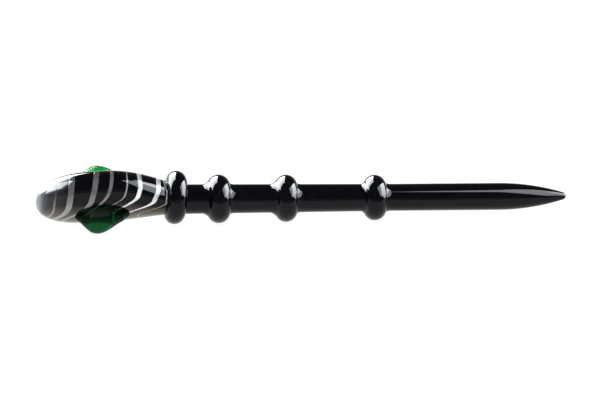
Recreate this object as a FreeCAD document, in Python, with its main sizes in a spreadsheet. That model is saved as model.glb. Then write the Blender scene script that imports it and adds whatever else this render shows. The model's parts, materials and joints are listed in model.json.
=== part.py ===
import FreeCAD, Part
import math
import os
import Sketcher

# A lampworked glass pen: a black glass rod drawn out to a smooth round point, four black glass
# collars fused round it, and an arched egg-shaped head with combed white glass trails laid flush
# in it and a green glass dot on each side. Millimetres, +Z up, the pen lying along X with its
# head to -X, resting on its second and last collars and on the front dot. "Station" is the
# distance from the nose of the head along the rod's axis.

Vector = FreeCAD.Vector
Rotation = FreeCAD.Rotation
Placement = FreeCAD.Placement
ALONG_X = Rotation(Vector(0, 1, 0), 90)

DIMENSIONS = {
    "pen_length": 157.8,
    "rod_start_radius": 4.4,
    "rod_radius": 4.0,
    "rod_taper_end": 105.5,
    "point_start": 137.6,
    "point_side_radius": 66.0,
    "head_radius": 7.5,
    "belly_station": 20.0,
    "weld_station": 41.35,
    "head_neck_radius": 4.5,
    "head_widening": 0.24,
    "head_flattening": 0.16,
    "head_rounding_start": 22.0,
    "head_arch": 5.6,
    "head_rise": 2.2,
    "head_lift": 0.65,
    "head_droop": 0.4,
    "head_swing": 1.6,
    "neck_collar_station": 41.35,
    "neck_collar_radius": 7.9,
    "neck_collar_crown": 3.0,
    "neck_collar_reach": 3.9,
    "neck_collar_raise": 0.6,
    "neck_collar_lean": 3.8,
    "upper_collar_station": 54.2,
    "upper_collar_radius": 7.2,
    "upper_collar_crown": 3.4,
    "upper_collar_reach": 5.2,
    "middle_collar_station": 74.2,
    "middle_collar_radius": 7.0,
    "middle_collar_crown": 3.3,
    "middle_collar_reach": 5.3,
    "lower_collar_station": 100.6,
    "lower_collar_radius": 6.75,
    "lower_collar_crown": 3.4,
    "lower_collar_reach": 4.4,
    "collar_bore_radius": 3.2,
    "collar_edge_sink": 0.05,
    "collar_foot_reach": 1.9,
    "collar_foot_height": 0.4,
    "front_green_dot_station": 18.8,
    "front_green_dot_tip_centre": 7.3,
    "front_green_dot_tip_radius": 4.6,
    "back_green_dot_station": 19.1,
    "back_green_dot_tip_centre": 5.3,
    "back_green_dot_tip_radius": 5.4,
    "dot_shear": 0.27,
    "dot_lift": 0.54,
    "dot_drop_angle": 28.0,
}
COLLARS = ("neck_collar", "upper_collar", "middle_collar", "lower_collar")

# The head's cross-sections: steps round the quarter turn from the nose to the belly, then
# fractions of the way from the belly to the weld. The sections are ovals, flattened between the
# two green dots.
NOSE_STEPS = 10
NECK_FRACTIONS = (0.19, 0.38, 0.56, 0.75, 0.89, 1.0)
NOSE_EXPONENT = 3.3
NECK_EXPONENT = 1.3
DROOP_EXPONENT = 8

# The white trails. Each row: station where the trail crosses the upper front, width along the
# pen, sideways lean, drift towards the nose across the front, distance it was combed towards the
# nose below that, angle where the combing starts, and the angle it takes to reach its full length.
# The combed stretches are thinned by a share of the width.
TRAILS = (
    (5.4, 0.60, 0.0, 0.4, 2.6, 28.0, 110.0),
    (9.6, 1.80, 0.8, 0.0, 4.4, 21.0, 100.0),
    (16.3, 1.70, 1.6, 0.2, 6.8, 9.0, 92.0),
    (21.2, 1.05, 1.1, 1.2, 5.6, -5.0, 83.0),
    (26.3, 0.42, 0.2, 1.2, 8.6, 0.0, 60.0),
    (30.5, 1.35, -0.4, 1.6, 6.8, 2.0, 56.0),
    (35.7, 1.40, 0.4, 1.2, 8.2, 13.0, 54.0),
    (38.9, 0.34, -1.4, 1.2, 9.0, 17.0, 52.0),
)
TRAIL_DEPTH = 0.6
TRAIL_THINNING = 0.55
TRAIL_DRIFT_SPAN = 25.0
TRAIL_ANGLE_SHIFT = 25.0
RING_POLES = 48
SECTION_POLES = 8

# The dot's sections: height above the tip's centre as a share of the tip radius, then the
# half-widths along the pen and across it as shares of the tip radius.
DOT_SKIRT = (
    (0.52, 0.91, 0.87),
    (0.32, 1.12, 0.94),
    (0.10, 1.36, 0.98),
    (-0.10, 1.62, 1.00),
    (-0.30, 1.80, 0.99),
    (-0.60, 1.85, 0.96),
)
DOT_CAP_ANGLES = (6.0, 14.0, 24.0, 34.0, 43.0)

doc = FreeCAD.newDocument("GlassPen")
sheet = doc.addObject("Spreadsheet::Sheet", "dims")
for row, (alias, value) in enumerate(DIMENSIONS.items(), start=1):
    sheet.set("A%d" % row, alias)
    sheet.set("B%d" % row, str(value))
    sheet.setAlias("B%d" % row, alias)
doc.recompute()


def size(alias):
    """The value of one driving dimension."""
    return float(sheet.get(alias))


def rod_radius_at(station):
    """Radius of the rod where it tapers from the weld to its parallel stretch."""
    share = (station - size("weld_station")) / (size("rod_taper_end") - size("weld_station"))
    share = min(max(share, 0.0), 1.0)
    return size("rod_start_radius") + (size("rod_radius") - size("rod_start_radius")) * share


def head_size_at(station):
    """Mean radius of the head's oval section."""
    belly = size("belly_station")
    if station <= belly:
        return size("head_radius") * math.sqrt(max(0.0, 1 - (1 - station / belly) ** NOSE_EXPONENT))
    share = (station - belly) / (size("weld_station") - belly)
    swell = max(0.0, 1 - share * share) ** NECK_EXPONENT
    return size("head_neck_radius") + (size("head_radius") - size("head_neck_radius")) * swell


def head_centre_at(station):
    """Centre of the head's section, on its arched centre line with a drooping nose."""
    back = (size("weld_station") - station) / size("weld_station")
    height = size("head_arch") * back * (1 - back) ** 2 + size("head_rise") * back * (1 - back)
    height += size("head_lift") * back ** 2 - size("head_droop") * back ** DROOP_EXPONENT
    return Vector(station, -size("head_swing") * back ** 2, height)


def smooth_step(low, high, value):
    """Smooth rise from 0 at low to 1 at high."""
    share = min(max((value - low) / (high - low), 0.0), 1.0)
    return share * share * (3 - 2 * share)


def head_half_widths_at(station):
    """Larger and smaller half-width of the oval section, which becomes round at the weld."""
    flat = 1 - smooth_step(size("head_rounding_start"), size("weld_station"), station)
    mean = head_size_at(station)
    return mean * (1 + size("head_widening") * flat), mean * (1 - size("head_flattening") * flat)


def head_radius_at(station, angle):
    """Distance from the head's centre line to its surface, in one direction across the pen."""
    wide, thin = head_half_widths_at(station)
    turned = math.radians(angle - size("dot_drop_angle"))
    return wide * thin / math.hypot(wide * math.cos(turned), thin * math.sin(turned))


def outward_at(angle):
    """Direction across the pen, at an angle counted from the front downwards."""
    return Vector(0, -math.cos(math.radians(angle)), -math.sin(math.radians(angle)))


def dot_reach(name):
    """How far a dot reaches sideways from the pen's axis."""
    across = math.cos(math.radians(size("dot_drop_angle")))
    return size(name + "_tip_centre") * across + size(name + "_tip_radius")


# The pen's pose: it lies on its second and last collars and tilts a little, because the last one
# is smaller. It is centred sideways between the tips of its dots.
spacing = size("lower_collar_station") - size("upper_collar_station")
tilt = math.asin((size("upper_collar_radius") - size("lower_collar_radius")) / spacing)
nose_height = size("upper_collar_radius") / math.cos(tilt) + size("upper_collar_station") * math.sin(tilt)
sideways = (dot_reach("front_green_dot") - dot_reach("back_green_dot")) / 2
LAY = Placement(
    Vector(-size("pen_length") / 2 * math.cos(tilt), sideways, nose_height),
    Rotation(Vector(0, 1, 0), math.degrees(tilt)),
)


def add_body(name, label):
    """A PartDesign body in the pen's resting pose."""
    body = doc.addObject("PartDesign::Body", name)
    body.Label = label
    body.Placement = LAY
    return body


def add_profile(body, name):
    """A sketch on the body's own upright plane through the pen's axis."""
    plane = next(item for item in body.Origin.OriginFeatures if item.Role == "XZ_Plane")
    sketch = body.newObject("Sketcher::SketchObject", name)
    sketch.AttachmentSupport = [(plane, "")]
    sketch.MapMode = "FlatFace"
    return sketch


def flat(station, radius):
    """A point of a profile sketch."""
    return Vector(station, radius, 0)


def join(sketch, ends):
    """Make pairs of curve ends coincide."""
    for first, first_end, second, second_end in ends:
        sketch.addConstraint(Sketcher.Constraint("Coincident", first, first_end, second, second_end))


def drive(sketch, constraint, expression):
    """Add a dimension and bind it to the spreadsheet."""
    index = sketch.addConstraint(constraint)
    sketch.setExpression("Constraints[%d]" % index, expression)


def revolve(body, sketch, name):
    """Turn the sketch round the pen's axis."""
    turn = body.newObject("PartDesign::Revolution", name)
    turn.Profile = sketch
    turn.ReferenceAxis = (sketch, ["H_Axis"])
    turn.Angle = 360
    sketch.Visibility = False
    return turn


def build_shaft():
    """The rod: a slight taper, a parallel stretch, and a point made of two tangent arcs."""
    body = add_body("Shaft", "shaft")
    sketch = add_profile(body, "ShaftProfile")
    side = size("point_side_radius")
    radius = size("rod_radius")
    run = size("pen_length") - size("point_start")
    drop = side - radius
    end_radius = (side ** 2 - drop ** 2 - run ** 2) / (2 * (side - run))
    side_centre = flat(size("point_start"), -drop)
    end_centre = flat(size("pen_length") - end_radius, 0)
    meet = end_centre - side_centre
    meet_angle = math.atan2(meet.y, meet.x)
    start = flat(size("weld_station"), 0)
    rim = flat(size("weld_station"), size("rod_start_radius"))
    taper_end = flat(size("rod_taper_end"), radius)
    point_start = flat(size("point_start"), radius)
    tip = flat(size("pen_length"), 0)
    normal = Vector(0, 0, 1)
    face = sketch.addGeometry(Part.LineSegment(start, rim), False)
    taper = sketch.addGeometry(Part.LineSegment(rim, taper_end), False)
    barrel = sketch.addGeometry(Part.LineSegment(taper_end, point_start), False)
    flank_circle = Part.Circle(side_centre, normal, side)
    flank = sketch.addGeometry(Part.ArcOfCircle(flank_circle, meet_angle, math.pi / 2), False)
    end_circle = Part.Circle(end_centre, normal, end_radius)
    end = sketch.addGeometry(Part.ArcOfCircle(end_circle, 0, meet_angle), False)
    axis = sketch.addGeometry(Part.LineSegment(tip, start), False)
    join(sketch, (
        (face, 2, taper, 1),
        (taper, 2, barrel, 1),
        (axis, 2, face, 1),
        (end, 1, axis, 1),
    ))
    sketch.addConstraint(Sketcher.Constraint("Tangent", barrel, 2, flank, 2))
    sketch.addConstraint(Sketcher.Constraint("Tangent", flank, 1, end, 2))
    sketch.addConstraint(Sketcher.Constraint("Vertical", face))
    sketch.addConstraint(Sketcher.Constraint("Horizontal", barrel))
    sketch.addConstraint(Sketcher.Constraint("PointOnObject", face, 1, -1))
    sketch.addConstraint(Sketcher.Constraint("PointOnObject", axis, 1, -1))
    sketch.addConstraint(Sketcher.Constraint("PointOnObject", end, 3, -1))
    drive(sketch, Sketcher.Constraint("DistanceX", -1, 1, face, 1, start.x), "dims.weld_station")
    drive(sketch, Sketcher.Constraint("DistanceY", -1, 1, face, 2, rim.y), "dims.rod_start_radius")
    drive(sketch, Sketcher.Constraint("DistanceX", -1, 1, taper, 2, taper_end.x), "dims.rod_taper_end")
    drive(sketch, Sketcher.Constraint("DistanceY", -1, 1, barrel, 2, radius), "dims.rod_radius")
    drive(sketch, Sketcher.Constraint("DistanceX", -1, 1, barrel, 2, point_start.x), "dims.point_start")
    drive(sketch, Sketcher.Constraint("DistanceX", -1, 1, axis, 1, tip.x), "dims.pen_length")
    drive(sketch, Sketcher.Constraint("Radius", flank, side), "dims.point_side_radius")
    revolve(body, sketch, "ShaftTurn")
    return body


def build_collar_blank(name):
    """A collar before it is fitted to the rod: round crown, concave fillet on the head side,
    thin foot on the point side."""
    body = add_body(name.title().replace("_", "") + "Blank", name + "_blank")
    sketch = add_profile(body, body.Name + "Profile")
    station = size(name + "_station")
    outer = size(name + "_radius")
    crown = size(name + "_crown")
    reach = size(name + "_reach")
    bore = size("collar_bore_radius")
    base = rod_radius_at(station - reach) - size("collar_edge_sink")
    lift = outer - crown - base
    fillet = (reach ** 2 + lift ** 2 - crown ** 2) / (2 * (crown + lift))
    crown_centre = flat(station, outer - crown)
    fillet_centre = flat(station - reach, base + fillet)
    meet = fillet_centre - crown_centre
    meet_angle = math.atan2(meet.y, meet.x)
    foot_reach = size("collar_foot_reach")
    foot_height = size("collar_foot_height")
    foot_base = rod_radius_at(station + crown + foot_reach) - size("collar_edge_sink")
    if name == "neck_collar":
        foot_base -= size("neck_collar_raise")
    crown_end = math.asin((foot_base + foot_height - crown_centre.y) / crown)
    foot_end = station + crown * math.cos(crown_end) + foot_reach
    foot_radius = (foot_reach ** 2 + foot_height ** 2) / (2 * foot_height)
    foot_angle = math.atan2(foot_height - foot_radius, -foot_reach)
    edge = flat(station - reach, base)
    low_left = flat(station - reach, bore)
    low_right = flat(foot_end, bore)
    foot_edge = flat(foot_end, foot_base)
    normal = Vector(0, 0, 1)
    left = sketch.addGeometry(Part.LineSegment(low_left, edge), False)
    fillet_circle = Part.Circle(fillet_centre, normal, fillet)
    hollow = sketch.addGeometry(
        Part.ArcOfCircle(fillet_circle, 1.5 * math.pi, math.pi + meet_angle), False)
    crown_circle = Part.Circle(crown_centre, normal, crown)
    top = sketch.addGeometry(Part.ArcOfCircle(crown_circle, crown_end, meet_angle), False)
    foot_circle = Part.Circle(flat(foot_end, foot_base + foot_radius), normal, foot_radius)
    foot = sketch.addGeometry(Part.ArcOfCircle(foot_circle, foot_angle, -math.pi / 2), False)
    face = sketch.addGeometry(Part.LineSegment(foot_edge, low_right), False)
    bottom = sketch.addGeometry(Part.LineSegment(low_right, low_left), False)
    join(sketch, (
        (left, 2, hollow, 1),
        (top, 1, foot, 1),
        (foot, 2, face, 1),
        (face, 2, bottom, 1),
        (bottom, 2, left, 1),
    ))
    sketch.addConstraint(Sketcher.Constraint("Tangent", hollow, 2, top, 2))
    sketch.addConstraint(Sketcher.Constraint("Vertical", left))
    sketch.addConstraint(Sketcher.Constraint("Vertical", face))
    sketch.addConstraint(Sketcher.Constraint("Horizontal", bottom))
    sketch.addConstraint(Sketcher.Constraint("Vertical", hollow, 3, left, 2))
    sketch.addConstraint(Sketcher.Constraint("Vertical", foot, 3, face, 1))
    drive(sketch, Sketcher.Constraint("DistanceX", -1, 1, top, 3, station), "dims.%s_station" % name)
    drive(sketch, Sketcher.Constraint("DistanceY", -1, 1, top, 3, crown_centre.y),
          "dims.%s_radius - dims.%s_crown" % (name, name))
    drive(sketch, Sketcher.Constraint("Radius", top, crown), "dims.%s_crown" % name)
    drive(sketch, Sketcher.Constraint("DistanceX", left, 2, top, 3, reach), "dims.%s_reach" % name)
    drive(sketch, Sketcher.Constraint("DistanceY", -1, 1, bottom, 1, bore), "dims.collar_bore_radius")
    drive(sketch, Sketcher.Constraint("DistanceX", foot, 1, face, 1, foot_reach), "dims.collar_foot_reach")
    drive(sketch, Sketcher.Constraint("DistanceY", face, 1, foot, 1, foot_height),
          "dims.collar_foot_height")
    sketch.addConstraint(Sketcher.Constraint("DistanceY", -1, 1, face, 1, foot_base))
    sketch.addConstraint(Sketcher.Constraint("DistanceY", -1, 1, left, 2, base))
    revolve(body, sketch, body.Name + "Turn")
    return body


def boolean(kind, name, label, base, tool):
    """A two-body boolean with its own label."""
    result = doc.addObject("Part::" + kind, name)
    result.Label = label
    result.Base = base
    result.Tool = tool
    return result


def build_head():
    """The whole head: a loft from the nose point through oval sections to the weld."""
    facing = Rotation(Vector(1, 0, 0), size("dot_drop_angle")).multiply(ALONG_X)
    nose = doc.addObject("Part::Vertex", "NosePoint")
    nose.Placement.Base = head_centre_at(0)
    sections = [nose]
    belly = size("belly_station")
    stations = [belly * (1 - math.cos(math.pi / 2 * step / NOSE_STEPS)) for step in range(1, NOSE_STEPS + 1)]
    stations += [belly + share * (size("weld_station") - belly) for share in NECK_FRACTIONS]
    for number, station in enumerate(stations, start=1):
        wide, thin = head_half_widths_at(station)
        oval = doc.addObject("Part::Ellipse", "HeadSection%d" % number)
        oval.Placement = Placement(head_centre_at(station), facing)
        oval.setExpression("MajorRadius", "dims.head_radius * %.6f" % (wide * 1.0001 / size("head_radius")))
        oval.setExpression("MinorRadius", "dims.head_radius * %.6f" % (thin / size("head_radius")))
        sections.append(oval)
    loft = doc.addObject("Part::Loft", "Head")
    loft.Label = "head"
    loft.Sections = sections
    loft.Solid = True
    loft.Placement = LAY
    return loft


def trail_turn(angle):
    """Angle round the head as the trails use it, with the combed front just below zero."""
    return (angle + TRAIL_ANGLE_SHIFT + 90) % 360 - 90


def combed_share(trail, angle):
    """How far a trail is combed at an angle round the head, from 0 to 1."""
    station, width, lean, drift, comb, onset, span = trail
    turned = trail_turn(angle)
    front = smooth_step(onset, onset + span, turned) * (1 - smooth_step(92, 140, turned))
    back = smooth_step(140, 190, turned) * (1 - smooth_step(215, 265, turned))
    return front + back


def trail_station(trail, angle):
    """Station of a trail's centre at an angle round the head, counted from the front downwards."""
    station, width, lean, drift, comb, onset, span = trail
    turned = trail_turn(angle)
    slide = drift * smooth_step(-TRAIL_DRIFT_SPAN, TRAIL_DRIFT_SPAN, turned)
    slide *= 1 - smooth_step(140, 265, turned)
    return station - lean * math.sin(math.radians(turned)) - slide - comb * combed_share(trail, angle)


def build_trail_ring(trail):
    """A closed, smooth ring of elliptical section that follows the trail round the head."""
    section_gain = 3 / (2 + math.cos(2 * math.pi / SECTION_POLES))
    poles = []
    for step in range(RING_POLES):
        angle = 360 * step / RING_POLES
        station = trail_station(trail, angle)
        half_width = trail[1] / 2 * (1 - TRAIL_THINNING * combed_share(trail, angle))
        outward = outward_at(angle)
        centre = head_centre_at(station) + outward * head_radius_at(station, angle)
        row = []
        for turn in range(SECTION_POLES):
            bearing = 2 * math.pi * turn / SECTION_POLES
            along = Vector(half_width * section_gain * math.cos(bearing), 0, 0)
            across = outward * (TRAIL_DEPTH * section_gain * math.sin(bearing))
            row.append(centre + along + across)
        poles.append(row)
    surface = Part.BSplineSurface()
    surface.buildFromPolesMultsKnots(
        poles,
        [1] * (RING_POLES + 1),
        [1] * (SECTION_POLES + 1),
        list(range(RING_POLES + 1)),
        list(range(SECTION_POLES + 1)),
        True, True, 3, 3,
    )
    solid = Part.Solid(Part.Shell([surface.toShape()]))
    if solid.Volume < 0:
        solid.reverse()
    return solid


def dot_shift_at(height):
    """How far a dot's section is shifted along the pen: the dots lean towards the nose."""
    return -size("dot_shear") * (height - size("head_radius"))


def build_dot(name, label, turn):
    """A green glass dot: a rounded tip on a skirt that flares along the head."""
    tip_radius = size(label + "_tip_radius")
    centre = size(label + "_tip_centre")
    sections = []
    for height, along, across in reversed(DOT_SKIRT):
        sections.append((centre + height * tip_radius, along * tip_radius, across * tip_radius))
    for angle in reversed(DOT_CAP_ANGLES):
        lift = math.cos(math.radians(angle)) * tip_radius
        width = math.sin(math.radians(angle)) * tip_radius
        sections.append((centre + lift, width, width * 0.999))
    shapes = []
    for number, (height, along, across) in enumerate(sections, start=1):
        oval = doc.addObject("Part::Ellipse", "%sSection%d" % (name, number))
        oval.Placement = Placement(Vector(dot_shift_at(height), 0, height), Rotation())
        oval.setExpression("MajorRadius", "dims.%s_tip_radius * %.6f" % (label, along / tip_radius))
        oval.setExpression("MinorRadius", "dims.%s_tip_radius * %.6f" % (label, across / tip_radius))
        shapes.append(oval)
    tip = doc.addObject("Part::Vertex", name + "Tip")
    tip.Placement.Base = Vector(dot_shift_at(centre + tip_radius), 0, centre + tip_radius)
    shapes.append(tip)
    blank = doc.addObject("Part::Loft", name + "Blank")
    blank.Label = label + "_blank"
    blank.Sections = shapes
    blank.Solid = True
    facing = Rotation(Vector(1, 0, 0), turn)
    hub = Vector(size(label + "_station"), 0, size("dot_lift"))
    blank.Placement = LAY.multiply(Placement(hub, facing))
    return blank


shaft = build_shaft()
head = build_head()
nodes = [shaft]

for collar_name in COLLARS:
    blank = build_collar_blank(collar_name)
    if collar_name == "neck_collar":
        centre = Vector(size("neck_collar_station"), 0, 0)
        raised = Placement(Vector(0, 0, size("neck_collar_raise")), Rotation())
        leaning = Placement(Vector(), Rotation(Vector(0, 1, 0), size("neck_collar_lean")), centre)
        blank.Placement = LAY.multiply(raised).multiply(leaning)
    fitted_label = collar_name if collar_name != "neck_collar" else "neck_collar_on_rod"
    fitted = boolean("Cut", "Fitted" + blank.Name, fitted_label, blank, shaft)
    if collar_name == "neck_collar":
        fitted = boolean("Cut", "NeckCollar", collar_name, fitted, head)
    nodes.append(fitted)

rings = []
for number, trail in enumerate(TRAILS, start=1):
    ring = doc.addObject("Part::Feature", "TrailRing%d" % number)
    ring.Label = "trail_ring_%d" % number
    ring.Shape = build_trail_ring(trail)
    ring.Placement = LAY
    rings.append(ring)
    nodes.append(boolean("Common", "WhiteTrail%d" % number, "white_trail_%d" % number, head, ring))

all_rings = doc.addObject("Part::Compound", "AllRings")
all_rings.Links = rings
nodes.append(boolean("Cut", "HeadCore", "head_core", head, all_rings))

drop_angle = size("dot_drop_angle")
front_blank = build_dot("FrontDot", "front_green_dot", 90 + drop_angle)
back_blank = build_dot("BackDot", "back_green_dot", drop_angle - 90)
nodes.append(boolean("Cut", "FrontGreenDot", "front_green_dot", front_blank, head))
nodes.append(boolean("Cut", "BackGreenDot", "back_green_dot", back_blank, head))

doc.recompute()

for item in doc.Objects:
    if "Invalid" in item.State or "Error" in item.State:
        raise RuntimeError("%s did not compute" % item.Name)

os.makedirs("parts", exist_ok=True)
for node in nodes:
    shape = node.Shape
    if shape.isNull() or not shape.isValid() or len(shape.Solids) != 1:
        raise RuntimeError("%s is not one valid solid" % node.Label)
    shape.exportStep("parts/%s.step" % node.Label)
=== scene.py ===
import json
import math
from collections import namedtuple

import bmesh
import bpy
from mathutils import Matrix, Vector

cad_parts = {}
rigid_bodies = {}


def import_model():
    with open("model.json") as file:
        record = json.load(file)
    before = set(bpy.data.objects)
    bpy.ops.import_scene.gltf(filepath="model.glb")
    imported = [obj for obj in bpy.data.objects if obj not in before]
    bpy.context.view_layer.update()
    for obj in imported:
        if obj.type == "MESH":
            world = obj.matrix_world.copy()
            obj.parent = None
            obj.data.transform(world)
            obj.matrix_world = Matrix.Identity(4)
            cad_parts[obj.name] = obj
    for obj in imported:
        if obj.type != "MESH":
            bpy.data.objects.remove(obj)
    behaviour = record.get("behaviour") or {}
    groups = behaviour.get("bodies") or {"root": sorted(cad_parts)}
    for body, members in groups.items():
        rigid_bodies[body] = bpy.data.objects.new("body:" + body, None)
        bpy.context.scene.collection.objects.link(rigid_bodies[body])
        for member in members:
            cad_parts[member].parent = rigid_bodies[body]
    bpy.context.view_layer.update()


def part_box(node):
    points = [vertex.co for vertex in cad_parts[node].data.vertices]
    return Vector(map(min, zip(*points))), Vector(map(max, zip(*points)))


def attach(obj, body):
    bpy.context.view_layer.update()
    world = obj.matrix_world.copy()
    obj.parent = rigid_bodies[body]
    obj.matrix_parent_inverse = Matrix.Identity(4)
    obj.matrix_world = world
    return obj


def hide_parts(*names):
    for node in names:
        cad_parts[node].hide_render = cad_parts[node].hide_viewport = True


# The looks of a lampworked glass pen: glossy black glass rod, point and collars, an egg-shaped
# head of smoky black glass with white trails, and two clear green glass dots. Every CAD node is
# replaced by a finer mesh of the same shape, because polished glass shows each facet.
# The pen's own lengths are in millimetres, measured on the straight pen from its nose, and its
# angles in degrees, until place() puts its points in the row's frame. All else is in metres.

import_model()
MM = 0.001

# ---- sizes -----------------------------------------------------------------------------------

PEN_LENGTH = 157.8
ROD_START_RADIUS = 4.4
ROD_RADIUS = 4.0
ROD_TAPER_END = 105.5
POINT_START = 137.6
POINT_SIDE_RADIUS = 66.0
HEAD_RADIUS = 7.5
BELLY_STATION = 20.0
WELD_STATION = 41.35
HEAD_NECK_RADIUS = 4.5
HEAD_ARCH = 5.6
HEAD_RISE = 2.2
HEAD_LIFT = 0.65
HEAD_DROOP = 0.4
DROOP_EXPONENT = 8
HEAD_SWING = 1.6
HEAD_WIDENING = 0.24
HEAD_FLATTENING = 0.16
ROUNDING_START = 22.0
NOSE_EXPONENT = 3.3
NECK_EXPONENT = 1.3

# station, outer radius, crown radius, reach of the fillet towards the head
Collar = namedtuple("Collar", "station outer crown reach")
COLLARS = {
    "neck_collar": Collar(41.35, 7.9, 3.0, 3.9),
    "upper_collar": Collar(54.2, 7.2, 3.4, 5.2),
    "middle_collar": Collar(74.2, 7.0, 3.3, 5.3),
    "lower_collar": Collar(100.6, 6.75, 3.4, 4.4),
}
COLLAR_BORE = 3.2
NECK_COLLAR_RAISE = 0.6
NECK_COLLAR_LEAN = 3.8
COLLAR_SINK = 0.05
FOOT_REACH = 1.9
FOOT_HEIGHT = 0.4

# station at the upper front, width, lean, drift, combed distance, angle where combing starts,
# angle it takes, shaded whiteness: the white glass darkened by painted shade, much more on the
# trails towards the nose than on those by the neck
Trail = namedtuple("Trail", "station width lean drift comb onset span whiteness")
TRAILS = (
    Trail(5.4, 0.60, 0.0, 0.4, 2.6, 28.0, 110.0, 0.07),
    Trail(9.6, 1.80, 0.8, 0.0, 4.4, 21.0, 100.0, 0.15),
    Trail(16.3, 1.70, 1.6, 0.2, 6.8, 9.0, 92.0, 0.15),
    Trail(21.2, 1.05, 1.1, 1.2, 5.6, -5.0, 83.0, 0.17),
    Trail(26.3, 0.42, 0.2, 1.2, 8.6, 0.0, 60.0, 0.34),
    Trail(30.5, 1.35, -0.4, 1.6, 6.8, 2.0, 56.0, 0.95),
    Trail(35.7, 1.40, 0.4, 1.2, 8.2, 13.0, 54.0, 1.00),
    Trail(38.9, 0.34, -1.4, 1.2, 9.0, 17.0, 52.0, 0.60),
)
TRAIL_ANGLE_SHIFT = 25.0
TRAIL_DRIFT_SPAN = 25.0
TRAIL_RISE = 0.025
TRAIL_EDGE_DROP = 0.004
TRAIL_EDGE_EXPONENT = 4
TRAIL_SINK = 0.45
TRAIL_THINNING = 0.55
# Angles round the head, as the trails use them, over which they return from the front combing,
# are combed again near the back dot, return from that, and lose their drift.
FRONT_RETURN = (92, 140)
BACK_COMBING = (140, 190)
BACK_RETURN = (215, 265)
DRIFT_RETURN = (140, 265)

# station, tip radius, tip centre's distance from the hub, turn round the pen
Dot = namedtuple("Dot", "station tip_radius tip_centre turn")
DOTS = {
    "front_green_dot": Dot(18.8, 4.6, 7.3, 90.0),
    "back_green_dot": Dot(19.1, 5.4, 5.3, -90.0),
}
DOT_SHEAR = 0.27
DOT_LIFT = 0.54
DOT_DROP_ANGLE = 28.0
# height above the tip's centre, half-width along the pen and across it, in tip radii
DOT_SKIRT = (
    (0.52, 0.91, 0.87),
    (0.32, 1.12, 0.94),
    (0.10, 1.36, 0.98),
    (-0.10, 1.62, 1.00),
    (-0.30, 1.80, 0.99),
    (-0.60, 1.85, 0.96),
)
DOT_CAP_ANGLES = (0.0, 6.0, 14.0, 24.0, 34.0, 43.0)

# The pen rests on its collars, which get smaller towards the point, and so it slopes a little.
FIRST_COLLAR = COLLARS["upper_collar"]
LAST_COLLAR = COLLARS["lower_collar"]
COLLAR_SPACING = LAST_COLLAR.station - FIRST_COLLAR.station
TILT = math.asin((FIRST_COLLAR.outer - LAST_COLLAR.outer) / COLLAR_SPACING)
NOSE_HEIGHT = FIRST_COLLAR.outer / math.cos(TILT) + FIRST_COLLAR.station * math.sin(TILT)
ACROSS = math.cos(math.radians(DOT_DROP_ANGLE))
REACHES = [dot.tip_centre * ACROSS + dot.tip_radius for dot in DOTS.values()]
SIDEWAYS = (REACHES[0] - REACHES[1]) / 2
CORNER = Matrix.Translation((-PEN_LENGTH / 2 * math.cos(TILT), SIDEWAYS, NOSE_HEIGHT))
LAY = CORNER @ Matrix.Rotation(TILT, 4, "Y")

# How finely each mesh is divided, and one more ring on the rod's flat end.
TURNED_SEGMENTS = 144
ROD_STEPS = 90
ROD_END_RING = 2.0
POINT_SIDE_STEPS = 30
POINT_END_STEPS = 16
FILLET_STEPS = 18
CROWN_STEPS = 44
FOOT_STEPS = 14
HEAD_SEGMENTS = 192
NOSE_STEPS = 60
NECK_STEPS = 50
TRAIL_STEPS = 288
TRAIL_HALF_STEPS = 10
DOT_STEPS = 70
DOT_SEGMENTS = 144


# ---- shape helpers ---------------------------------------------------------------------------

def place(point):
    """A point on the straight pen, in millimetres, put in the row's frame in metres."""
    return (LAY @ point) * MM


def smooth_step(low, high, value):
    """0 below the low value, 1 above the high one, and a smooth rise between them."""
    share = min(max((value - low) / (high - low), 0.0), 1.0)
    return share * share * (3 - 2 * share)


def rod_radius_at(station):
    """The rod tapers slightly from the weld to its parallel stretch."""
    share = (station - WELD_STATION) / (ROD_TAPER_END - WELD_STATION)
    share = min(max(share, 0.0), 1.0)
    return ROD_START_RADIUS + (ROD_RADIUS - ROD_START_RADIUS) * share


def head_size_at(station):
    """Mean radius of the head's oval section."""
    if station <= BELLY_STATION:
        share = 1 - station / BELLY_STATION
        return HEAD_RADIUS * math.sqrt(max(0.0, 1 - share ** NOSE_EXPONENT))
    share = (station - BELLY_STATION) / (WELD_STATION - BELLY_STATION)
    swell = max(0.0, 1 - share * share) ** NECK_EXPONENT
    return HEAD_NECK_RADIUS + (HEAD_RADIUS - HEAD_NECK_RADIUS) * swell


def head_radius_at(station, angle):
    """Radius of the oval section in one direction. It is flattened between the two dots, and
    becomes round towards the weld."""
    flat = 1 - smooth_step(ROUNDING_START, WELD_STATION, station)
    wide = 1 + HEAD_WIDENING * flat
    thin = 1 - HEAD_FLATTENING * flat
    turned = math.radians(angle - DOT_DROP_ANGLE)
    size = head_size_at(station)
    return size * wide * thin / math.hypot(wide * math.cos(turned), thin * math.sin(turned))


def head_centre_at(station):
    """The head's middle line: arched, and swung to the front towards the nose."""
    back = (WELD_STATION - station) / WELD_STATION
    height = HEAD_ARCH * back * (1 - back) ** 2 + HEAD_RISE * back * (1 - back)
    height += HEAD_LIFT * back ** 2 - HEAD_DROOP * back ** DROOP_EXPONENT
    return Vector((station, -HEAD_SWING * back ** 2, height))


def outward_at(angle):
    """Direction across the pen, counted in degrees from the front (-Y) downwards."""
    return Vector((0, -math.cos(math.radians(angle)), -math.sin(math.radians(angle))))


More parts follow.
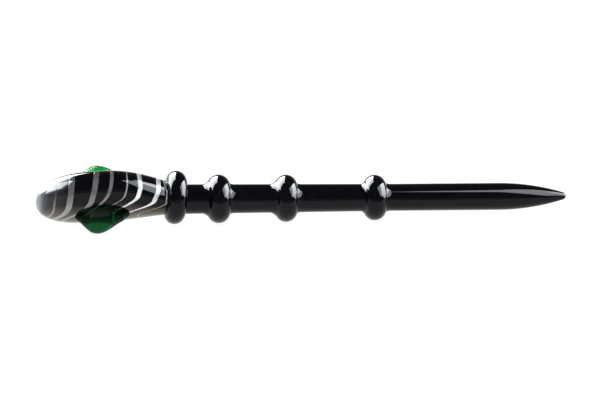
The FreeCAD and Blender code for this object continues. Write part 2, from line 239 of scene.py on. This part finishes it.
def make_piece(name, rings, material, loop=False):
    """A closed mesh from rings of points: capped with single points at both ends, or, when
    looped, with the last ring joined to the first."""
    mesh = bpy.data.meshes.new(name)
    work = bmesh.new()
    rows = [[work.verts.new(place(point)) for point in ring] for ring in rings]
    pairs = list(zip(rows, rows[1:]))
    if loop:
        pairs.append((rows[-1], rows[0]))
    for first, second in pairs:
        count = max(len(first), len(second))
        for index in range(count):
            after = (index + 1) % count
            if len(first) == 1:
                work.faces.new((first[0], second[after], second[index]))
            elif len(second) == 1:
                work.faces.new((first[index], first[after], second[0]))
            else:
                work.faces.new((first[index], first[after], second[after], second[index]))
    bmesh.ops.recalc_face_normals(work, faces=work.faces)
    for face in work.faces:
        face.smooth = True
    work.to_mesh(mesh)
    work.free()
    mesh.materials.append(material)
    piece = bpy.data.objects.new(name, mesh)
    bpy.context.scene.collection.objects.link(piece)
    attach(piece, "root")
    return piece


def turned_rings(profile):
    """Rings of a profile of (station, radius) pairs turned round the pen's axis."""
    rings = []
    for station, radius in profile:
        centre = Vector((station, 0, 0))
        if radius == 0.0:
            rings.append([centre])
            continue
        ring = []
        for segment in range(TURNED_SEGMENTS):
            ring.append(centre + outward_at(360 * segment / TURNED_SEGMENTS) * radius)
        rings.append(ring)
    return rings


def arc(centre, radius, start, end, steps):
    """Points of an arc in the profile plane, angles in radians."""
    points = []
    for step in range(steps + 1):
        angle = start + (end - start) * step / steps
        points.append((centre[0] + radius * math.cos(angle), centre[1] + radius * math.sin(angle)))
    return points


# ---- materials -------------------------------------------------------------------------------

GLASS_ROUGHNESS = 0.05
BLACK_INDEX = 1.27
WHITE_INDEX = 1.36

# scale and detail of each noise
BLACK_NOISE = (260.0, 3.0)
SMOKY_NOISE = (260.0, 4.0)
WHITE_NOISE = (420.0, 4.0)
GREEN_NOISE = (150.0, 2.0)
FLOOR_NOISE = (3.0, 2.0)
RIPPLE_NOISE = (90.0, 1.0)
RIPPLE_HEIGHT = 0.000008
DOT_RIPPLE_HEIGHT = 0.000005

# position and colour of each stop of a ramp
BLACK_STOPS = (
    (0.35, (0.0016, 0.0013, 0.0030)),
    (0.65, (0.0034, 0.0029, 0.0054)),
)
# from the head's black upper side to its pale brown underside: the brown of thin dark glass, and painted
# light from the glowing floor below that makes it pale
PAINTED_UNDERSIDE_STOPS = (
    (0.0, (0.0022, 0.0019, 0.0032)),
    (0.12, (0.0040, 0.0034, 0.0040)),
    (0.30, (0.055, 0.043, 0.037)),
    (0.60, (0.130, 0.110, 0.092)),
    (1.0, (0.30, 0.28, 0.24)),
)
# from the grey tip of the head's nose inwards: painted light that stands for the bright floor seen
# through the clear glass of the nose
PAINTED_NOSE_LIGHT_STOPS = (
    (0.0, (0.48, 0.50, 0.51)),
    (0.10, (0.32, 0.34, 0.35)),
    (0.16, (0.13, 0.14, 0.16)),
    (0.22, (0.058, 0.064, 0.074)),
    (0.34, (0.022, 0.022, 0.030)),
    (0.60, (0.012, 0.012, 0.016)),
    (1.0, (0.0, 0.0, 0.0)),
)
# how far up or down the head's glass faces where the painted light of the underside starts and ends
PAINTED_UNDERSIDE_FACING = (0.05, -0.85)
PAINTED_UNDERSIDE_WOBBLE = 0.20
PAINTED_NOSE_LENGTH = 0.010
# a dull coat that softens the shine at the tip of the nose
HAZE_START = 0.003
HAZE_END = 0.011
HAZE_WEIGHT = 0.5
HAZE_ROUGHNESS = 0.30

WHITE_LIGHT_TINT = (0.98, 1.0, 1.0)
WHITE_DARK_TINT = (0.96, 1.0, 1.0)
WHITE_DARK_SHARE = 0.55
# the trails are paler where they face down, which is painted light from the glowing floor below: this
# much, and a share of their own tint
PAINTED_UNDERLIGHT_FACING = (0.15, -0.55)
PAINTED_UNDERLIGHT_LEVEL = 0.33
PAINTED_UNDERLIGHT_SHARE = 0.5

DEEP_GREEN = (0.004, 0.25, 0.030)
LIGHT_GREEN = (0.008, 0.32, 0.044)
# how far a dot's glass faces its rim side where the painted rim tint starts and ends
PAINTED_RIM_FACING = (0.35, 0.75)
# strength of the green, refractive index, side where the rim is of another tint, that tint: painted
# reflection and light seen through the glass, grey on the front dot's upper faces and nearly clear
# on the back dot's faces towards the nose
DotGlass = namedtuple("DotGlass", "strength index rim_side rim_tint")
DOT_GLASSES = {
    "front_green_dot": DotGlass(0.075, 1.08, (0, 0, 1), (0.20, 0.25, 0.24)),
    "back_green_dot": DotGlass(0.95, 1.10, (-1, 0, 0), (0.86, 0.97, 0.91)),
}


def set_inputs(material, node, inputs):
    """Gives each input a constant value, or links it to another node's output."""
    for key, value in inputs.items():
        if isinstance(value, bpy.types.NodeSocket):
            material.node_tree.links.new(value, node.inputs[key])
        else:
            node.inputs[key].default_value = value


def add_node(material, kind, inputs, **settings):
    """A new node with its settings and inputs."""
    node = material.node_tree.nodes.new(kind)
    for key, value in settings.items():
        setattr(node, key, value)
    set_inputs(material, node, inputs)
    return node


def new_material(name):
    """A material with nothing but a Principled shader, and that shader."""
    material = bpy.data.materials.new(name)
    material.use_nodes = True
    material.node_tree.nodes.clear()
    shader = add_node(material, "ShaderNodeBsdfPrincipled", {})
    add_node(material, "ShaderNodeOutputMaterial", {"Surface": shader.outputs["BSDF"]})
    return material, shader


def add_coordinates(material, kind):
    """One kind of texture coordinates."""
    return add_node(material, "ShaderNodeTexCoord", {}).outputs[kind]


def add_parts(material, kind):
    """X, Y and Z of one kind of coordinates, as separate outputs."""
    vector = add_coordinates(material, kind)
    return add_node(material, "ShaderNodeSeparateXYZ", {"Vector": vector}).outputs


def add_noise(material, scale, detail):
    """Noise in the object's own coordinates, in metres."""
    noise = add_node(material, "ShaderNodeTexNoise", {
        "Vector": add_coordinates(material, "Object"),
        "Scale": scale,
        "Detail": detail,
    })
    return noise.outputs["Fac"]


def add_ramp(material, source, stops):
    """Colours along a ramp of (position, colour) stops."""
    ramp = add_node(material, "ShaderNodeValToRGB", {"Fac": source})
    elements = ramp.color_ramp.elements
    while len(elements) > 1:
        elements.remove(elements[-1])
    elements[0].position = stops[0][0]
    elements[0].color = (*stops[0][1], 1)
    for position, colour in stops[1:]:
        elements.new(position).color = (*colour, 1)
    return ramp.outputs["Color"]


def add_range(material, source, start, end, first=0.0, last=1.0):
    """A value that goes from the first to the last while the source goes from start to end."""
    mapped = add_node(material, "ShaderNodeMapRange", {
        "Value": source,
        "From Min": start,
        "From Max": end,
        "To Min": first,
        "To Max": last,
    })
    return mapped.outputs["Result"]


def add_blend(material, factor, first, second, kind="MIX"):
    """Two colours blended by a factor."""
    inputs = {"Factor": factor, "A": first, "B": second}
    blend = add_node(material, "ShaderNodeMix", inputs, data_type="RGBA", blend_type=kind)
    return blend.outputs["Result"]


def add_ripple(material, shader, height):
    """The faint unevenness of hand-worked glass."""
    bump = add_node(material, "ShaderNodeBump", {
        "Height": add_noise(material, *RIPPLE_NOISE),
        "Strength": 1.0,
        "Distance": height,
    })
    set_inputs(material, shader, {"Normal": bump.outputs["Normal"]})


def black_glass():
    """The glass of the rod and the collars."""
    material, shader = new_material("black_glass")
    set_inputs(material, shader, {
        "Roughness": GLASS_ROUGHNESS,
        "IOR": BLACK_INDEX,
        "Base Color": add_ramp(material, add_noise(material, *BLACK_NOISE), BLACK_STOPS),
    })
    add_ripple(material, shader, RIPPLE_HEIGHT)
    return material


def smoky_glass():
    """The head's glass: black above; under the belly the brown of thin dark glass, made pale by painted
    light from the floor below; grey at the nose, painted light that stands for the bright floor seen
    through its clear glass; and hazy at the nose.
    """
    material, shader = new_material("smoky_glass")
    wobble = add_node(material, "ShaderNodeMath", {
        0: add_noise(material, *SMOKY_NOISE),
        1: PAINTED_UNDERSIDE_WOBBLE,
        2: add_parts(material, "Normal")["Z"],
    }, operation="MULTIPLY_ADD")
    # painted light: the faces turned down are made pale brown, as if lit by the glowing floor below
    painted_underlight = add_range(material, wobble.outputs["Value"], *PAINTED_UNDERSIDE_FACING)
    painted_underside_light = add_ramp(material, painted_underlight, PAINTED_UNDERSIDE_STOPS)
    along = add_parts(material, "Object")["X"]
    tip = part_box("head_core")[0].x
    # painted light: grey at the tip of the nose, fading inwards
    painted_nose_light = add_ramp(material, add_range(material, along, tip, tip + PAINTED_NOSE_LENGTH), PAINTED_NOSE_LIGHT_STOPS)
    set_inputs(material, shader, {
        "Roughness": GLASS_ROUGHNESS,
        "IOR": BLACK_INDEX,
        "Base Color": add_blend(material, 1.0, painted_underside_light, painted_nose_light, "LIGHTEN"),
        "Coat Weight": add_range(material, along, tip + HAZE_START, tip + HAZE_END, HAZE_WEIGHT, 0.0),
        "Coat Roughness": HAZE_ROUGHNESS,
    })
    add_ripple(material, shader, RIPPLE_HEIGHT)
    return material


def white_glass(number, whiteness):
    """A trail's glass: streaky white, with painted light from the floor below that makes it paler where
    it faces down.
    """
    material, shader = new_material("white_glass_%d" % number)
    # the shaded whiteness darkens the whole trail: painted shade, strongest on the trails towards the
    # nose
    dark = tuple(whiteness * tint * WHITE_DARK_SHARE for tint in WHITE_DARK_TINT)
    light = tuple(whiteness * tint for tint in WHITE_LIGHT_TINT)
    painted_underlight_colour = tuple(PAINTED_UNDERLIGHT_LEVEL + PAINTED_UNDERLIGHT_SHARE * tint for tint in light)
    streaks = add_ramp(material, add_noise(material, *WHITE_NOISE), ((0.3, dark), (0.62, light)))
    # painted light: faces turned down are blended towards a paler colour, as if lit from the floor below
    painted_underlight = add_range(material, add_parts(material, "Normal")["Z"], *PAINTED_UNDERLIGHT_FACING)
    set_inputs(material, shader, {
        "Roughness": GLASS_ROUGHNESS,
        "IOR": WHITE_INDEX,
        "Base Color": add_blend(material, painted_underlight, streaks, (*painted_underlight_colour, 1)),
    })
    add_ripple(material, shader, RIPPLE_HEIGHT)
    return material


def green_glass(name):
    """A dot's clear green glass, with painted reflection and see-through light as another tint towards
    one rim. Its own mirror shine is off, because the bright panels would leave white specks in it."""
    material, shader = new_material(name + "_green")
    glass = DOT_GLASSES[name]
    deep = tuple(part * glass.strength for part in DEEP_GREEN)
    light = tuple(part * glass.strength for part in LIGHT_GREEN)
    green = add_ramp(material, add_noise(material, *GREEN_NOISE), ((0.3, deep), (0.7, light)))
    towards = add_node(material, "ShaderNodeVectorMath", {
        0: add_coordinates(material, "Normal"),
        1: glass.rim_side,
    }, operation="DOT_PRODUCT")
    # painted reflection and see-through light: faces turned to the rim side take the painted tint in
    # place of the green
    painted_rim = add_range(material, towards.outputs["Value"], *PAINTED_RIM_FACING)
    set_inputs(material, shader, {
        "Roughness": 0.0,
        "Specular Tint": (0.0, 0.0, 0.0, 1),
        "IOR": glass.index,
        "Transmission Weight": 1.0,
        "Base Color": add_blend(material, painted_rim, green, (*glass.rim_tint, 1)),
    })
    add_ripple(material, shader, DOT_RIPPLE_HEIGHT)
    return material


BLACK = black_glass()
SMOKY = smoky_glass()


# ---- the pen ---------------------------------------------------------------------------------

def build_shaft():
    """The rod, from the weld inside the neck collar to its drawn-out round point."""
    side_drop = POINT_SIDE_RADIUS - ROD_RADIUS
    run = PEN_LENGTH - POINT_START
    end_radius = (POINT_SIDE_RADIUS ** 2 - side_drop ** 2 - run ** 2) / (2 * (POINT_SIDE_RADIUS - run))
    end_centre = (PEN_LENGTH - end_radius, 0.0)
    meet = math.atan2(side_drop, end_centre[0] - POINT_START)
    profile = [(WELD_STATION, radius) for radius in (0.0, ROD_END_RING, ROD_START_RADIUS)]
    for step in range(1, ROD_STEPS):
        station = WELD_STATION + (POINT_START - WELD_STATION) * step / ROD_STEPS
        profile.append((station, rod_radius_at(station)))
    profile += arc((POINT_START, -side_drop), POINT_SIDE_RADIUS, math.pi / 2, meet, POINT_SIDE_STEPS)
    profile += arc(end_centre, end_radius, meet, 0.0, POINT_END_STEPS)[1:-1]
    profile.append((PEN_LENGTH, 0.0))
    piece = make_piece("rod", turned_rings(profile), BLACK)
    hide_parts("shaft")


def build_collar(name):
    """A round crown with a fillet towards the head and a thin foot towards the point."""
    station, outer, crown, reach = COLLARS[name]
    crown_height = outer - crown
    base = rod_radius_at(station - reach) - COLLAR_SINK
    lift = crown_height - base
    fillet = (reach ** 2 + lift ** 2 - crown ** 2) / (2 * (crown + lift))
    meet = math.atan2(base + fillet - crown_height, -reach)
    foot_base = rod_radius_at(station + crown + FOOT_REACH) - COLLAR_SINK
    if name == "neck_collar":
        foot_base -= NECK_COLLAR_RAISE
    crown_end = math.asin((foot_base + FOOT_HEIGHT - crown_height) / crown)
    foot_end = station + crown * math.cos(crown_end) + FOOT_REACH
    foot_radius = (FOOT_REACH ** 2 + FOOT_HEIGHT ** 2) / (2 * FOOT_HEIGHT)
    foot_angle = math.atan2(FOOT_HEIGHT - foot_radius, -FOOT_REACH)
    foot_centre = (foot_end, foot_base + foot_radius)
    profile = [(along, COLLAR_BORE) for along in (foot_end, station, station - reach)]
    profile += arc((station - reach, base + fillet), fillet, 1.5 * math.pi, math.pi + meet, FILLET_STEPS)
    profile += arc((station, crown_height), crown, meet, crown_end, CROWN_STEPS)[1:-1]
    profile += arc(foot_centre, foot_radius, foot_angle, -math.pi / 2, FOOT_STEPS)
    rings = turned_rings(profile)
    if name == "neck_collar":
        turn = Matrix.Rotation(math.radians(NECK_COLLAR_LEAN), 4, "Y")
        centre = Matrix.Translation((station, 0, NECK_COLLAR_RAISE))
        lean = centre @ turn @ Matrix.Translation((-station, 0, 0))
        rings = [[lean @ point for point in ring] for ring in rings]
    piece = make_piece(name + "_glass", rings, BLACK, loop=True)
    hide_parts(name)


def build_head():
    """The egg-shaped core, with its rings set closer towards the tip of the nose."""
    stations = []
    for step in range(1, NOSE_STEPS + 1):
        stations.append(BELLY_STATION * (1 - math.cos(math.pi / 2 * step / NOSE_STEPS)))
    for step in range(1, NECK_STEPS + 1):
        stations.append(BELLY_STATION + (WELD_STATION - BELLY_STATION) * step / NECK_STEPS)
    rings = [[head_centre_at(0.0)]]
    for station in stations:
        centre = head_centre_at(station)
        ring = []
        for segment in range(HEAD_SEGMENTS):
            angle = 360 * segment / HEAD_SEGMENTS
            ring.append(centre + outward_at(angle) * head_radius_at(station, angle))
        rings.append(ring)
    rings.append([head_centre_at(WELD_STATION)])
    piece = make_piece("head_glass", rings, SMOKY)
    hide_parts("head_core")


def trail_turn(angle):
    """Angle round the head as the trails use it: from -90 to 270, and zero at the upper front."""
    return (angle + TRAIL_ANGLE_SHIFT + 90) % 360 - 90


def combed_share(trail, angle):
    """How far a trail is combed at an angle round the head, from 0 to 1."""
    turned = trail_turn(angle)
    front = smooth_step(trail.onset, trail.onset + trail.span, turned)
    front *= 1 - smooth_step(*FRONT_RETURN, turned)
    back = smooth_step(*BACK_COMBING, turned) * (1 - smooth_step(*BACK_RETURN, turned))
    return front + back


def trail_station(trail, angle):
    """Station of a trail's centre at an angle round the head."""
    turned = trail_turn(angle)
    lean = trail.lean * math.sin(math.radians(turned))
    slide = trail.drift * smooth_step(-TRAIL_DRIFT_SPAN, TRAIL_DRIFT_SPAN, turned)
    slide *= 1 - smooth_step(*DRIFT_RETURN, turned)
    return trail.station - lean - slide - trail.comb * combed_share(trail, angle)


def build_trail(number, trail):
    """A flush strip of white glass right round the head."""
    rings = []
    for step in range(TRAIL_STEPS):
        angle = 360 * step / TRAIL_STEPS
        centre_station = trail_station(trail, angle)
        half_width = trail.width / 2 * (1 - TRAIL_THINNING * combed_share(trail, angle))
        outward = outward_at(angle)
        ring = []
        for turn in range(2 * TRAIL_HALF_STEPS):
            share = math.cos(math.pi * turn / TRAIL_HALF_STEPS)
            station = centre_station + half_width * share
            height = TRAIL_RISE * (1 - share ** TRAIL_EDGE_EXPONENT) - TRAIL_EDGE_DROP
            if turn > TRAIL_HALF_STEPS:
                height = -TRAIL_SINK * math.sin(math.pi * (turn - TRAIL_HALF_STEPS) / TRAIL_HALF_STEPS)
            ring.append(head_centre_at(station) + outward * (head_radius_at(station, angle) + height))
        rings.append(ring)
    material = white_glass(number, trail.whiteness)
    piece = make_piece("white_trail_glass_%d" % number, rings, material, loop=True)
    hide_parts("white_trail_%d" % number)


def spline_value(points, share):
    """Catmull-Rom interpolation along a list of tuples, share from 0 to 1."""
    position = share * (len(points) - 1)
    index = min(int(position), len(points) - 2)
    part = position - index
    before = points[max(index - 1, 0)]
    start = points[index]
    end = points[index + 1]
    after = points[min(index + 2, len(points) - 1)]
    result = []
    for a, b, c, d in zip(before, start, end, after):
        cubic = 2 * b + (c - a) * part + (2 * a - 5 * b + 4 * c - d) * part ** 2
        cubic += (3 * b - a - 3 * c + d) * part ** 3
        result.append(cubic / 2)
    return result


def dot_shift_at(height):
    """The dots lean towards the nose."""
    return -DOT_SHEAR * (height - HEAD_RADIUS)


def build_dot(name):
    """A round tip on a wider skirt that goes down into the head."""
    dot = DOTS[name]
    sections = []
    for angle in DOT_CAP_ANGLES:
        width = math.sin(math.radians(angle))
        sections.append((math.cos(math.radians(angle)), width, width))
    sections += DOT_SKIRT
    turn = Matrix.Rotation(math.radians(DOT_DROP_ANGLE + dot.turn), 4, "X")
    facing = Matrix.Translation((dot.station, 0, DOT_LIFT)) @ turn
    top = dot.tip_centre + dot.tip_radius
    rings = [[facing @ Vector((dot_shift_at(top), 0, top))]]
    for step in range(1, DOT_STEPS + 1):
        share, along, across = spline_value(sections, step / DOT_STEPS)
        height = dot.tip_centre + share * dot.tip_radius
        ring = []
        for segment in range(DOT_SEGMENTS):
            bearing = math.tau * segment / DOT_SEGMENTS
            ring.append(facing @ Vector((
                dot_shift_at(height) + along * dot.tip_radius * math.cos(bearing),
                across * dot.tip_radius * math.sin(bearing),
                height,
            )))
        rings.append(ring)
    bottom = dot.tip_centre + DOT_SKIRT[-1][0] * dot.tip_radius
    rings.append([facing @ Vector((dot_shift_at(bottom), 0, bottom))])
    piece = make_piece(name + "_glass", rings, green_glass(name))
    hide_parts(name)


build_shaft()
for collar_name in COLLARS:
    build_collar(collar_name)
build_head()
for number, trail in enumerate(TRAILS, start=1):
    build_trail(number, trail)
for dot_name in DOTS:
    build_dot(dot_name)


# ---- the studio ------------------------------------------------------------------------------

FLOOR_HALF_WIDTH = 4.0
FLOOR_STOPS = (
    (0.3, (0.10, 0.10, 0.10)),
    (0.7, (0.11, 0.11, 0.11)),
)
FLOOR_GLOW = (1.0, 0.995, 0.985, 1)
FLOOR_GLOW_STRENGTH = 0.95
PANEL_TINT = (0.93, 0.975, 1.0)
ROOM_COLOUR = (0.13, 0.13, 0.14, 1)

# centre, width, height, radiance, the place it faces, its turn about that direction, and whether
# it gives only mirrored light, only matt light, or both
Panel = namedtuple("Panel", "centre width height radiance target turn gives")
MIDDLE = (0.0, 0.0, 0.0)
NOSE = (-0.075, -0.004, 0.013)
PANELS = {
    "key_panel": Panel((-0.83, 1.06, 0.66), 1.52, 1.52, 28.0, MIDDLE, 45.0, "mirrored"),
    "top_panel": Panel((0.407, -0.08, 0.25), 0.49, 0.49, 13.0, (0.407, -0.08, 0.0), 45.0, "mirrored"),
    "right_panel": Panel((1.09, 0.10, 0.49), 1.10, 1.10, 22.0, MIDDLE, 45.0, "mirrored"),
    "nose_panel": Panel((-0.128, -0.012, 0.080), 0.085, 0.085, 32.0, NOSE, 45.0, "mirrored"),
    "soft_panel": Panel((0.0, -0.90, 1.20), 1.6, 1.2, 3.2, MIDDLE, 0.0, "matt"),
    "front_card": Panel((0.0, -2.2, 0.28), 5.0, 0.56, 0.25, (0.0, 0.0, 0.28), 0.0, "both"),
}

CAMERA_AZIMUTH = math.radians(-7.5)
CAMERA_ELEVATION = math.radians(25.0)
CAMERA_ROLL = math.radians(2.18)
CAMERA_DISTANCE = 2.0
CAMERA_TARGET = Vector((-0.00050, 0.00048, 0.00635))
CAMERA_LENS = 406.5
CAMERA_SENSOR = 36.0


def build_floor():
    """A plain pale floor that glows."""
    material, shader = new_material("pale_floor")
    set_inputs(material, shader, {
        "Base Color": add_ramp(material, add_noise(material, *FLOOR_NOISE), FLOOR_STOPS),
        "Emission Color": FLOOR_GLOW,
        "Emission Strength": FLOOR_GLOW_STRENGTH,
        "Roughness": 0.9,
        "Specular IOR Level": 0.1,
    })
    mesh = bpy.data.meshes.new("floor")
    half = FLOOR_HALF_WIDTH
    corners = [(-half, -half, 0), (half, -half, 0), (half, half, 0), (-half, half, 0)]
    mesh.from_pydata(corners, [], [(0, 1, 2, 3)])
    mesh.materials.append(material)
    floor = bpy.data.objects.new("floor", mesh)
    bpy.context.scene.collection.objects.link(floor)


def limit_to_head(holder):
    """Lets a panel light only the head's core and its trails."""
    head = bpy.data.collections.new("head_pieces")
    for piece in bpy.data.objects:
        if piece.name.startswith(("head_glass", "white_trail_glass")):
            head.objects.link(piece)
    holder.light_linking.receiver_collection = head


def build_panel(name):
    """A light panel turned to face its target. It can be limited to mirrored light or to matt
    light, so that shine and brightness are set apart."""
    panel = PANELS[name]
    centre = Vector(panel.centre)
    facing = (centre - Vector(panel.target)).to_track_quat("Z", "Y").to_matrix().to_4x4()
    facing = facing @ Matrix.Rotation(math.radians(panel.turn), 4, "Z")
    light = bpy.data.lights.new(name, "AREA")
    light.shape = "RECTANGLE"
    light.size = panel.width
    light.size_y = panel.height
    light.energy = panel.radiance * math.pi * panel.width * panel.height
    light.color = PANEL_TINT
    holder = bpy.data.objects.new(name, light)
    holder.matrix_world = Matrix.Translation(centre) @ facing
    holder.visible_camera = False
    holder.visible_transmission = False
    holder.visible_diffuse = panel.gives != "mirrored"
    holder.visible_glossy = panel.gives != "matt"
    bpy.context.scene.collection.objects.link(holder)
    if name == "nose_panel":
        limit_to_head(holder)


def build_room():
    """The dim light that comes from all round."""
    world = bpy.data.worlds.new("studio")
    world.use_nodes = True
    world.node_tree.nodes["Background"].inputs["Color"].default_value = ROOM_COLOUR
    bpy.context.scene.world = world


def build_camera():
    """A camera that looks at its target from an azimuth and an elevation."""
    back = Vector((
        math.sin(CAMERA_AZIMUTH) * math.cos(CAMERA_ELEVATION),
        -math.cos(CAMERA_AZIMUTH) * math.cos(CAMERA_ELEVATION),
        math.sin(CAMERA_ELEVATION),
    ))
    right = Vector((math.cos(CAMERA_AZIMUTH), math.sin(CAMERA_AZIMUTH), 0))
    up = back.cross(right)
    axes = Matrix((right, up, back)).transposed().to_4x4() @ Matrix.Rotation(CAMERA_ROLL, 4, "Z")
    data = bpy.data.cameras.new("camera")
    data.sensor_width = CAMERA_SENSOR
    data.lens = CAMERA_LENS
    camera = bpy.data.objects.new("camera", data)
    camera.matrix_world = Matrix.Translation(CAMERA_TARGET + back * CAMERA_DISTANCE) @ axes
    bpy.context.scene.collection.objects.link(camera)
    bpy.context.scene.camera = camera


build_floor()
for panel_name in PANELS:
    build_panel(panel_name)
build_room()
build_camera()
bpy.context.scene.view_settings.view_transform = "Standard"
